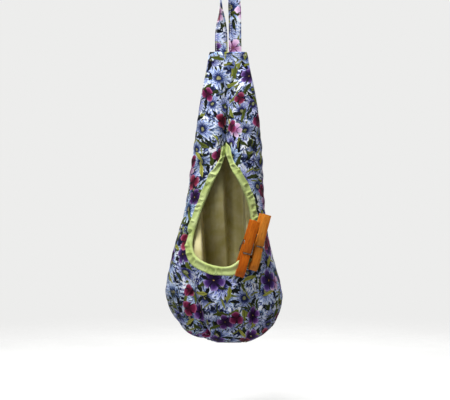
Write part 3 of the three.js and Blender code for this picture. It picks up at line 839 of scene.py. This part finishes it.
def plug(node, *sockets):
    """Sets or links sockets of a node, in order or, given as a pair, by name or number."""
    for place, value in enumerate(sockets):
        socket, value = value if isinstance(value, tuple) and len(value) == 2 else (place, value)
        if isinstance(value, bpy.types.NodeSocket):
            node.id_data.links.new(value, node.inputs[socket])
        else:
            node.inputs[socket].default_value = value


def add_node(tree, kind, *sockets, out=0, stops=(), **settings):
    """One node with its settings, sockets and colour stops. Gives one output, or all where out is None."""
    made = tree.nodes.new("ShaderNode" + kind)
    for name, value in settings.items():
        setattr(made, name, value)
    plug(made, *sockets)
    for i, (place, colour) in enumerate(stops):
        ramp = made.color_ramp.elements
        element = ramp[i] if i < len(ramp) else ramp.new(place)
        element.position = place
        element.color = linear(colour)
    return made.outputs if out is None else made.outputs[out]


def new_material(name):
    """A material, what adds a node to it, and its surface shader."""
    material = bpy.data.materials.new(name)
    material.use_nodes = True
    return material, partial(add_node, material.node_tree), material.node_tree.nodes["Principled BSDF"]


# A wave texture's bands lie this far apart at scale 1.
WAVE_STEP = 0.314


def streaks(add, place, size, *sockets):
    """Noise drawn out along a piece, with its size in millimetres along each axis."""
    drawn = add("VectorMath", place, [1 / (s * MM) for s in size], operation="MULTIPLY")
    return add("TexNoise", drawn, ("Scale", 1.0), *sockets)


def scatter(add, cloth, cell, shift, spread):
    """One scatter of motifs over the cloth: place from a motif's middle, distance from it, and three dice."""
    scale = 1 / (cell * MM)
    spot = add("VectorMath", cloth, (scale,) * 3, shift, operation="MULTIPLY_ADD")
    cells = add("TexVoronoi", spot, ("Scale", 1.0), ("Randomness", spread), out=None, voronoi_dimensions="2D")
    local = add("VectorMath", spot, cells["Position"], operation="SUBTRACT")
    dice = add("SeparateColor", cells["Color"], out=None)
    turn = add("Math", dice[0], 2 * math.pi, operation="MULTIPLY")
    turned = add("VectorRotate", local, ("Angle", turn), rotation_type="Z_AXIS")
    return add("SeparateXYZ", turned, out=None), cells["Distance"], dice


def printed_over(add, below, colour, inside, keep, dice):
    """Lays a motif's colour over the print below it, in the share of places that has one."""
    kept = add("Math", dice[2], keep, operation="LESS_THAN")
    cover = add("Math", inside, kept, operation="MULTIPLY")
    return add("Mix", cover, (6, below), (7, colour), out=2, data_type="RGBA")


def blossoms(add, cloth, below, cell, shift, spread, petals, reach, waist, point, keep, stops, gap):
    """Round flowers: lobed petals coloured from the eye to the tip, with a dark gap between petals."""
    axes, distance, dice = scatter(add, cloth, cell, shift, spread)
    angle = add("Math", axes[1], axes[0], operation="ARCTAN2")
    swing = add("Math", angle, petals / 2, operation="MULTIPLY")
    wave = add("Math", swing, operation="SINE")
    lobe = add("Math", wave, operation="ABSOLUTE")
    plump = add("Math", lobe, point, operation="POWER")
    petal = add("Math", plump, reach * (1 - waist), reach * waist, operation="MULTIPLY_ADD")
    grown = add("Math", dice[1], 0.3, 0.75, operation="MULTIPLY_ADD")
    size = add("Math", petal, grown, operation="MULTIPLY")
    share = add("Math", distance, size, operation="DIVIDE")
    shade = add("ValToRGB", share, stops=stops)
    between = add("MapRange", lobe, 0.3, 0.5, 1.0, 0.0)
    off_eye = add("Math", share, 0.28, operation="GREATER_THAN")
    line = add("Math", between, off_eye, operation="MULTIPLY")
    parted = add("Mix", line, (6, shade), (7, linear(gap)), out=2, data_type="RGBA")
    tone = add("Math", dice[1], 0.5, 0.72, operation="MULTIPLY_ADD")
    tint = add("Math", dice[0], 0.05, 0.475, operation="MULTIPLY_ADD")
    colour = add("HueSaturation", ("Hue", tint), ("Value", tone), ("Color", parted))
    inside = add("Math", share, 1.0, operation="LESS_THAN")
    return printed_over(add, below, colour, inside, keep, dice)


def leaves(add, cloth, below, cell, shift, spread, long, wide, keep, stops):
    """Pointed leaves with a fine dark midrib, each in its own tone."""
    axes, _, dice = scatter(add, cloth, cell, shift, spread)
    along = add("Math", axes[0], 1 / long, operation="MULTIPLY")
    bow = add("Math", along, along, operation="MULTIPLY")
    room = add("Math", 1.0, bow, operation="SUBTRACT")
    bend = add("Math", bow, 0.5 * wide, axes[1], operation="MULTIPLY_ADD")
    aside = add("Math", bend, operation="ABSOLUTE")
    edge = add("Math", aside, 1 / wide, operation="MULTIPLY")
    inside = add("Math", edge, room, operation="LESS_THAN")
    tone = add("ValToRGB", dice[1], stops=stops)
    rib = add("MapRange", edge, 0.04, 0.3, 0.45, 1.0)
    colour = add("HueSaturation", ("Value", rib), ("Color", tone))
    return printed_over(add, below, colour, inside, keep, dice)


def weave_bump(add, cloth, thread, deep):
    """Over and under of a plain weave, as a normal for the surface."""
    bands = [
        add("TexWave", cloth, ("Scale", WAVE_STEP / (thread * MM)), ("Distortion", 0.6), ("Detail", 1.0),
            out="Fac", bands_direction=way)
        for way in "XY"
    ]
    woven = add("Math", *bands, operation="MULTIPLY")
    return add("Bump", ("Strength", 0.35), ("Distance", deep * MM), ("Height", woven))


# Threads lie 0.4 mm apart; they are drawn at 0.9 mm so that the weave shows.
THREAD = 0.9


def printed_poplin():
    """Printed cotton poplin: a dull close weave, with a crowded print of generic garden flowers and leaves
    in blue, purple, crimson and olive on off-white, faintly faded in clouds."""
    material, add, surface = new_material("printed_cotton_poplin")
    cloth = add("UVMap", uv_map="cloth")
    # The motifs' edges wobble slowly, as in hand-painted artwork; the ground and the wear are clouds.
    brush, ground, faded = (
        add("TexNoise", cloth, ("Scale", 1 / (size * MM)), ("Detail", detail), out=out, noise_dimensions="2D")
        for size, detail, out in ((7, 2.0, "Color"), (17, 4.0, 0), (9, 4.0, 0))
    )
    wobble = (3.5 * MM, 3.5 * MM, 0)
    painted = add("VectorMath", brush, wobble, cloth, operation="MULTIPLY_ADD")
    pale = ((0.44, 0x12152E), (0.5, 0x6470A0), (0.55, 0xCDD1DE), (0.62, 0xD4D6DC))
    twig = ((0.0, 0x0A0C1E), (0.45, 0x1E274E), (0.8, 0x5F70A6), (1.0, 0x475226))
    blade = ((0.0, 0x141A0C), (0.5, 0x3A451C), (1.0, 0x868B3A))
    shadow = ((0.0, 0x06070E), (0.6, 0x0E120F), (1.0, 0x1C2414))
    olive = ((0.0, 0x262F12), (0.5, 0x66702A), (1.0, 0xB2AF54))
    bluet = ((0.0, 0xCFD2E2), (0.25, 0x10142E), (0.7, 0x3C4A84), (1.0, 0xB4C0DE))
    aster = ((0.0, 0x8C8A5A), (0.14, 0x0C0E24), (0.42, 0x283468), (0.7, 0x7688BC), (0.95, 0xCBD5E8))
    heart = ((0.0, 0x16161E), (0.2, 0xA8A878), (0.32, 0x0A0C20), (0.7, 0x303C76), (0.98, 0xB2BEDE))
    lilac = ((0.0, 0x6A5A2C), (0.12, 0x5A2348), (0.5, 0xA87AA6), (1.0, 0xD9BFD8))
    violet = ((0.0, 0xC9AE58), (0.1, 0x0E0614), (0.45, 0x27103A), (0.78, 0x4E2C6C), (1.0, 0x9678B2))
    crimson = ((0.0, 0x1E0612), (0.35, 0x471028), (0.75, 0x701E40), (1.0, 0xA05878))
    artwork = add("ValToRGB", ground, stops=pale)
    # From the ground up, each layer's cell in millimetres, shift and spread. Leaves then have their length
    # and width in cells, the share of cells that has one and its tones; flowers have their petals, reach,
    # waist and point, that share, their tones and the gap between petals.
    for motif, *row in (
        (leaves, 6.5, (0.3, 0.1, 0), 0.7, 0.7, 0.18, 0.8, twig),
        (leaves, 5.0, (7.3, 2.1, 0), 0.8, 0.7, 0.13, 0.6, twig),
        (leaves, 16, (3.7, 9.2, 0), 0.6, 0.62, 0.16, 0.75, blade),
        (blossoms, 13, (5.1, 0.7, 0), 0.6, 8, 0.44, 0.3, 0.9, 0.5, bluet, 0x0A0C20),
        (blossoms, 29, (1.2, 4.4, 0), 0.6, 16, 0.55, 0.3, 1.0, 0.9, aster, 0x0C0F26),
        (blossoms, 29, (1.2, 4.4, 0), 0.6, 11, 0.33, 0.3, 0.9, 0.9, heart, 0x0A0C20),
        (blossoms, 32, (8.6, 6.3, 0), 0.6, 16, 0.55, 0.3, 1.0, 0.75, aster, 0x0C0F26),
        (blossoms, 32, (8.6, 6.3, 0), 0.6, 11, 0.33, 0.3, 0.9, 0.75, heart, 0x0A0C20),
        (leaves, 13, (8.8, 3.3, 0), 0.7, 0.6, 0.17, 0.42, shadow),
        (leaves, 12, (4.3, 7.7, 0), 0.7, 0.75, 0.09, 0.5, blade),
        (leaves, 18, (2.9, 5.5, 0), 0.6, 0.6, 0.13, 0.5, olive),
        (blossoms, 47, (1.9, 7.2, 0), 0.6, 5, 0.25, 0.5, 0.6, 0.4, lilac, 0x4C2446),
        (blossoms, 37, (6.4, 1.8, 0), 0.5, 5, 0.35, 0.55, 0.55, 0.5, violet, 0x12081C),
        (blossoms, 38, (9.8, 3.6, 0), 0.55, 3, 0.26, 0.6, 0.55, 0.42, crimson, 0x220814),
    ):
        artwork = motif(add, painted, artwork, *row)
    wear = add("MapRange", faded, 0.3, 0.75, 0.9, 1.08)
    plug(surface, ("Base Color", add("HueSaturation", ("Value", wear), ("Color", artwork))),
         ("Roughness", 0.88), ("Specular IOR Level", 0.08), ("Sheen Weight", 0.02), ("Sheen Roughness", 0.5),
         ("Normal", weave_bump(add, cloth, THREAD, 0.12)))
    return material


def plain_cotton(name, tones, rough, turned=0.0):
    """Plain dyed cotton: a dull weave whose tone drifts, with slubs of thicker thread along it."""
    material, add, surface = new_material(name)
    flat = add("UVMap", uv_map="cloth")
    cloth = add("Mapping", flat, ("Rotation", (0, 0, turned)))
    slub = streaks(add, cloth, (1.4, 14, 1000), ("Detail", 2.0))
    cloud = add("TexNoise", cloth, ("Scale", 1 / (16 * MM)), ("Detail", 3.0))
    drift = add("Mix", 0.88, (2, slub), (3, cloud))
    plug(surface, ("Base Color", add("ValToRGB", drift, stops=tones)), ("Roughness", rough),
         ("Specular IOR Level", 0.25), ("Sheen Weight", 0.1),
         ("Normal", weave_bump(add, cloth, THREAD, 0.14)))
    return material


def sewing_thread(name, tones):
    """Twisted polyester sewing thread: fine slanting ply lines with a slight shine."""
    material, add, surface = new_material(name)
    place = add("TexCoord", out="Object")
    ply = add("TexWave", place, ("Scale", WAVE_STEP / (0.5 * MM)), ("Distortion", 1.0), out="Fac",
              bands_direction="DIAGONAL")
    plug(surface, ("Base Color", add("ValToRGB", ply, stops=tones)), ("Roughness", 0.55),
         ("Normal", add("Bump", ("Strength", 0.3), ("Distance", 0.05 * MM), ("Height", ply))))
    return material


def oiled_beech(peg, tones):
    """Oiled beech, planed and sawn: warm orange brown, with grain lines and short dark flecks along it."""
    material, add, surface = new_material(peg + "_oiled_beech")
    place = add("TexCoord", out="Object")
    back = peg_matrix(peg).inverted()
    local = add("Mapping", place, ("Location", back.to_translation()), ("Rotation", back.to_euler()))
    grain = streaks(add, local, (1.1, 1.1, 22), ("Detail", 4.0), ("Roughness", 0.6))
    figure = streaks(add, local, (5, 5, 60), ("Detail", 2.0), ("Distortion", 0.6))
    fleck = streaks(add, local, (0.8, 0.8, 4), ("Detail", 0.0))
    both = add("Math", grain, figure, operation="ADD")
    half = add("Math", both, 0.5, operation="MULTIPLY")
    colour = add("ValToRGB", half, stops=tones)
    dark = add("MapRange", fleck, 0.64, 0.74, 1.0, 0.72)
    plug(surface, ("Base Color", add("HueSaturation", ("Value", dark), ("Color", colour))),
         ("Roughness", add("MapRange", grain, 0.3, 0.7, 0.42, 0.62)), ("Specular IOR Level", 0.18),
         ("Normal", add("Bump", ("Strength", 0.3), ("Distance", 0.15 * MM), ("Height", grain))))
    return material


def spring_steel():
    """Drawn spring steel, lightly browned: dark grey metal with rust-tinted patches and fine draw marks."""
    material, add, surface = new_material("drawn_spring_steel")
    place = add("TexCoord", out="Object")
    patch = add("TexNoise", place, ("Scale", 1 / (2.5 * MM)), ("Detail", 4.0))
    scratch = add("TexNoise", place, ("Scale", 1 / (0.4 * MM)), ("Detail", 1.0))
    tones = ((0.35, 0x4B423B), (0.6, 0x77726C))
    plug(surface, ("Base Color", add("ValToRGB", patch, stops=tones)), ("Metallic", 1.0),
         ("Roughness", add("MapRange", patch, 0.3, 0.7, 0.5, 0.3)),
         ("Normal", add("Bump", ("Strength", 0.2), ("Distance", 0.05 * MM), ("Height", scratch))))
    return material


def seen_rays(add):
    """One where a surface is looked at, straight, in a shine or through something clear; nought for light."""
    rays = add("LightPath", out=None)
    seen = add("Math", rays["Is Camera Ray"], rays["Is Glossy Ray"], operation="MAXIMUM")
    return add("Math", seen, rays["Is Transmission Ray"], operation="MAXIMUM")


def finish_with(material, *pieces):
    for piece in pieces:
        piece.data.materials.clear()
        piece.data.materials.append(material)


finish_with(printed_poplin(), front_panel, back_panel, strap_strip)
finish_with(
    plain_cotton("cream_cotton_lining", ((0.35, 0xB7AD6F), (0.65, 0xCFC798)), 0.9), front_lining, back_lining
)
# The strip is cut on the bias, so its weave runs at 45 degrees.
finish_with(
    plain_cotton("lime_cotton_bias_tape", ((0.3, 0x93A354), (0.7, 0xB3BF84)), 0.85, math.radians(45)),
    binding_tape,
)
finish_with(sewing_thread("lime_sewing_thread", ((0.2, 0x93A65A), (0.8, 0xBCCB8A))), binding_stitches)
finish_with(
    sewing_thread("white_sewing_thread", ((0.2, 0xB9BBC4), (0.8, 0xE6E6E8))),
    top_front_stitches, top_back_stitches, base_stitches, *strap_edges.values(),
)
wood_tones = {
    "peg_1": ((0.32, 0x863600), (0.5, 0xAC5200), (0.68, 0xC46C12)),
    "peg_2": ((0.32, 0x9C540E), (0.5, 0xBE6E1C), (0.68, 0xD48C36)),
}
for name, tones in wood_tones.items():
    finish_with(oiled_beech(name, tones), *(peg_levers[name, part] for part in PEG_PARTS))
finish_with(spring_steel(), *peg_springs.values())

# Floor far enough under the bag for a soft shadow; it fades out so that no edge shows.
FLOOR_Z, FLOOR_REACH = -0.56, 1.4
bpy.ops.object.select_all(action="DESELECT")
bpy.ops.mesh.primitive_circle_add(vertices=96, radius=FLOOR_REACH, fill_type="NGON", location=(0, 0, FLOOR_Z))
floor = bpy.context.object
floor.name = "floor"
bpy.ops.object.transform_apply(location=True, rotation=True, scale=True)


def pale_floor():
    """Matt painted board, faintly uneven, whose paint thins out to nothing away from the bag."""
    material, add, surface = new_material("pale_floor_paint")
    place = add("TexCoord", out="Object")
    uneven = add("TexNoise", place, ("Scale", 9.0), ("Detail", 4.0))
    tone = add("ValToRGB", uneven, stops=((0.3, 0xDFDFDE), (0.7, 0xE6E6E5)))
    dull = add("HueSaturation", ("Value", 0.4), ("Color", tone))
    # The board looks paler than it is, so that it meets the surround, and lights nothing by that.
    paler = add("Math", seen_rays(add), 0.75, operation="MULTIPLY")
    plug(surface, ("Base Color", dull), ("Roughness", 0.9), ("Emission Color", tone),
         ("Emission Strength", paler))
    level = add("VectorMath", place, (1, 1, 0), operation="MULTIPLY")
    away = add("VectorMath", level, out="Value", operation="LENGTH")
    fade = add("MapRange", away, 0.35, 1.2, interpolation_type="SMOOTHERSTEP")
    clear = add("BsdfTransparent")
    mixed = add("MixShader", fade, surface.outputs[0], clear)
    plug(material.node_tree.nodes["Material Output"], ("Surface", mixed))
    return material


finish_with(pale_floor(), floor)

# Soft light: a key from high above on the left, a weak fill from the front, a rear light and a pale surround.
ROOM_LIGHT, LAMP_AIM_Z = 0.17, -0.3
BACKGROUND = 0xEDEDEC
for lamp_name, place, size, power in (
    ("key", (-0.2, -0.5, 1.25), 0.4, 51),
    ("fill", (-0.65, -1.6, 0.05), 0.9, 7.0),
    ("rear", (0.5, 1.8, 0.7), 1.4, 16),
):
    lamp = bpy.data.lights.new(lamp_name, "AREA")
    lamp.size = size
    lamp.energy = power
    lamp_object = linked(lamp_name, lamp)
    lamp_object.location = place
    aim = Vector((0, 0, LAMP_AIM_Z)) - Vector(place)
    lamp_object.rotation_euler = aim.to_track_quat("-Z", "Y").to_euler()

world = bpy.data.worlds.new("studio")
world.use_nodes = True
scene.world = world
sky = partial(add_node, world.node_tree)
lit = sky("Background", ("Color", linear(0xF4F6FA)), ("Strength", ROOM_LIGHT))
pale = sky("Background", ("Color", linear(BACKGROUND)), ("Strength", 1.0))
surround = sky("MixShader", seen_rays(sky), lit, pale)
plug(world.node_tree.nodes["World Output"], ("Surface", surround))

# What each piece rides on and stands for; the finish named in each row is not used.
for piece, slot, *nodes in (
    (front_panel, "printed_cotton", "outer_front"),
    (back_panel, "printed_cotton", "outer_back"),
    (front_lining, "lining_cotton", "lining_front"),
    (back_lining, "lining_cotton", "lining_back"),
    (binding_tape, "binding_cotton", "mouth_binding"),
    (binding_stitches, "binding_cotton"),
    (top_front_stitches, "printed_cotton"),
    (top_back_stitches, "printed_cotton"),
    (base_stitches, "printed_cotton"),
):
    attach(piece, "bag")
    if nodes:
        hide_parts(*nodes)

for piece in (strap_strip, *strap_edges.values()):
    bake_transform(piece)
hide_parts("strap_loop", "strap_end_left", "strap_end_right")

for name in PEG_FRAMES:
    for part, body in zip(PEG_PARTS, (name + "_lever", name)):
        lever = peg_levers[name, part]
        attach(lever, body)
        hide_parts(f"{name}_{part}")
    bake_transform(peg_springs[name])
    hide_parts(name + "_spring")
